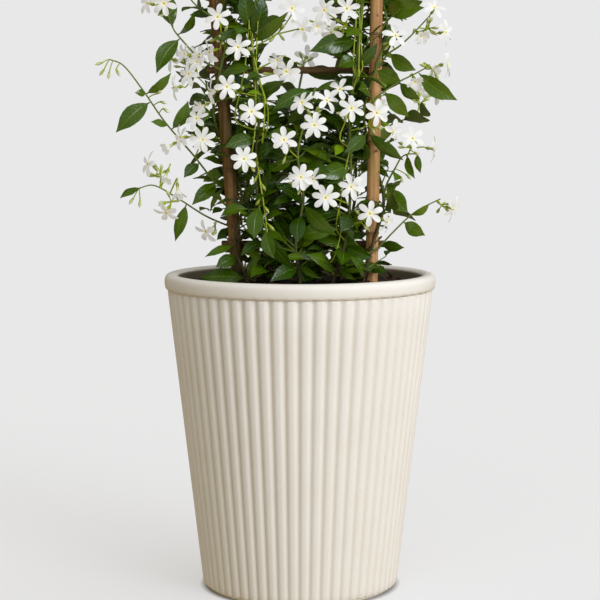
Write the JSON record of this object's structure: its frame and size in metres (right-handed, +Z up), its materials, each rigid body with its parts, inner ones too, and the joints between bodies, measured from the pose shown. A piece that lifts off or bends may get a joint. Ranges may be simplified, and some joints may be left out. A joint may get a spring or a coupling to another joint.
{
  "type": "potted star jasmine",
  "caption": "Flowering star jasmine climbing a ladder of bamboo canes in a tall tapered pot with fine upright ribs and a rolled rim.",
  "frame": {"origin": "centre of the pot's flat foot, on the surface that it stands on", "axes": "+Z up through the pot, -Y towards the viewer of the front, +X to the viewer's right along the rungs"},
  "size_m": [0.3308, 0.25, 0.678],
  "materials": {
    "pot_glaze": "cream glaze with a soft satin shine",
    "potting_mix": "moist dark brown crumbs, matte",
    "bamboo_cane": "tan bamboo skin, semi-gloss",
    "rung_wood": "reddish brown cane, satin",
    "coated_wire": "olive coated garden wire, satin",
    "leaf_green": "dark green leaves with a waxy gloss on green and brown stems",
    "petal_white": "soft white petals, matte, with a yellow throat"
  },
  "bodies": {
    "root": {"pot": "pot_glaze", "soil": "potting_mix", "cane_left": "bamboo_cane", "cane_right": "bamboo_cane", "rung_low": "rung_wood", "tie_low_left": "coated_wire", "tie_low_right": "coated_wire", "rung_middle": "rung_wood", "tie_middle_left": "coated_wire", "tie_middle_right": "coated_wire", "rung_top": "rung_wood", "tie_top_left": "coated_wire", "tie_top_right": "coated_wire", "stem_left_front": "leaf_green", "stem_left_back": "leaf_green", "stem_middle_front": "leaf_green", "stem_middle_back": "leaf_green", "stem_right_front": "leaf_green", "stem_right_back": "leaf_green", "stem_left_twiner": "leaf_green", "stem_right_twiner": "leaf_green", "spray_01": "petal_white", "spray_02": "petal_white", "spray_03": "petal_white", "spray_04": "petal_white", "spray_05": "petal_white", "spray_06": "petal_white", "spray_07": "petal_white", "spray_08": "petal_white", "spray_09": "petal_white", "spray_10": "petal_white", "spray_11": "petal_white", "spray_12": "petal_white", "spray_13": "petal_white", "spray_14": "petal_white", "spray_15": "petal_white", "spray_16": "petal_white", "spray_17": "petal_white", "spray_18": "petal_white", "spray_19": "petal_white", "spray_20": "petal_white", "spray_21": "petal_white", "spray_22": "petal_white", "spray_23": "petal_white", "spray_24": "petal_white", "spray_25": "petal_white", "spray_26": "petal_white", "spray_27": "petal_white", "spray_28": "petal_white", "spray_29": "petal_white", "spray_30": "petal_white", "spray_31": "petal_white", "spray_32": "petal_white", "spray_33": "petal_white", "spray_34": "petal_white", "spray_35": "petal_white", "spray_36": "petal_white", "spray_37": "petal_white", "spray_38": "petal_white", "spray_39": "petal_white"}
  },
  "joints": []
}
